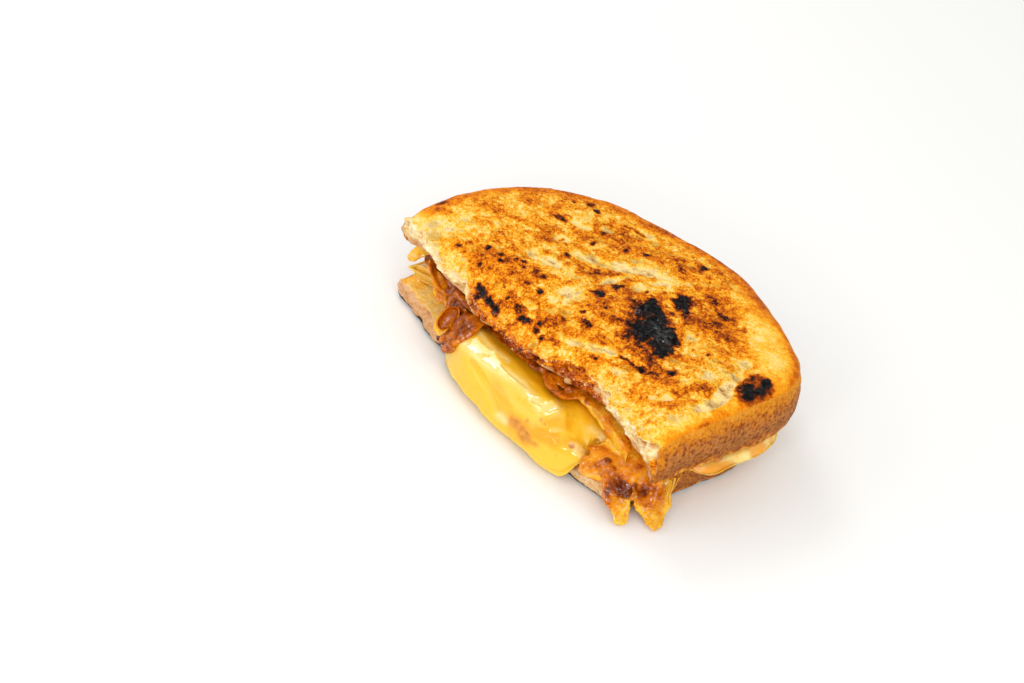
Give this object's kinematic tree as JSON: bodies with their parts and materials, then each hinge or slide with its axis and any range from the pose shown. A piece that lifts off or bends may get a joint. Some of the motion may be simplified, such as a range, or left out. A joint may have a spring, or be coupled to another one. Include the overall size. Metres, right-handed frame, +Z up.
{
  "type": "grilled cheese sandwich",
  "caption": "Half of a pan-toasted bread sandwich with melted cheese and caramelised onions showing at its torn cut side, lying flat on its bottom slice, ready to be picked up and eaten.",
  "frame": {"origin": "centre of the sandwich's footprint box, on the surface that the bottom slice lies on", "axes": "+X along the cut side, from the dome crust's end to the base crust's end; +Y from the cut side into the bread; +Z up"},
  "size_m": [0.1142, 0.0794, 0.0301],
  "materials": {
    "toast_top": "golden buttered toast with browned and charred patches and pale torn crumb",
    "toast_bottom": "toasted bread with a dark browned underside, brown crust and pale crumb",
    "melted_cheese": "smooth glossy melted yellow cheese",
    "caramelised_onion": "wet translucent amber to brown onion strips"
  },
  "bodies": {
    "root": {"bread_top": "toast_top", "bread_bottom": "toast_bottom", "cheese": "melted_cheese", "onions": "caramelised_onion"}
  },
  "joints": []
}
